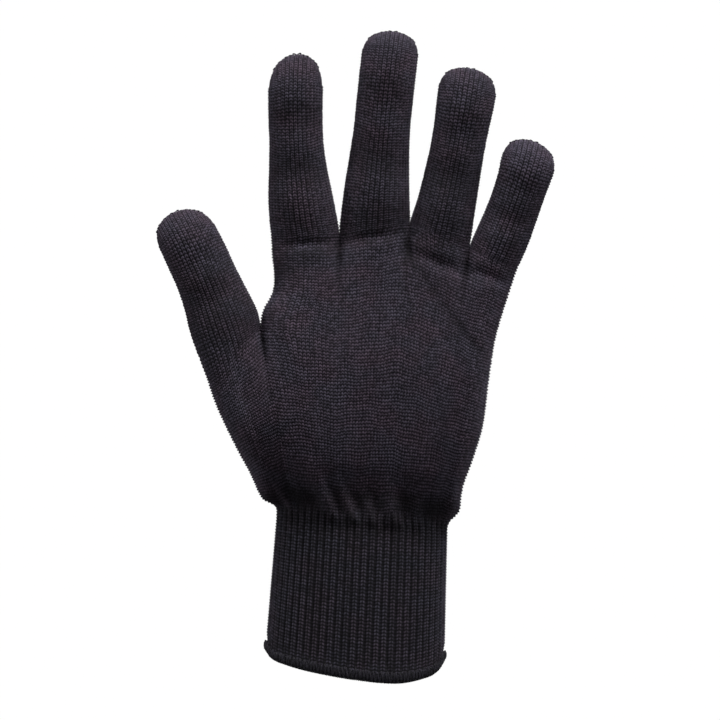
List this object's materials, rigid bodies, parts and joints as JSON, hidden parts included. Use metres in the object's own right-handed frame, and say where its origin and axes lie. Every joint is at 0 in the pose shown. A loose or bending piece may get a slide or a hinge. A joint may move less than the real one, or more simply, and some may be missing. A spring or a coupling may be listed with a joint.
{
  "type": "glove liner",
  "caption": "Knitted glove liner for the left hand in its worn form: hollow fingers, thumb and palm, gathers above a ribbed cuff, and an overlocked hem.",
  "frame": {"origin": "middle of the wrist opening, inside the hem", "axes": "+Z runs from the wrist opening up to the fingertips, the palm faces -Y, and the thumb points to -X"},
  "size_m": [0.1503, 0.0475, 0.2466],
  "materials": {
    "jersey_knit": "soft matt jersey knit, near black with a faint plum cast",
    "rib_knit": "soft matt rib knit, a little darker than the hand",
    "overlock_thread": "matt overlock stitches"
  },
  "bodies": {
    "root": {"hand": "jersey_knit", "thumb": "jersey_knit", "index_finger": "jersey_knit", "middle_finger": "jersey_knit", "ring_finger": "jersey_knit", "little_finger": "jersey_knit", "ribbed_cuff": "rib_knit", "cuff_hem": "overlock_thread"}
  },
  "joints": []
}
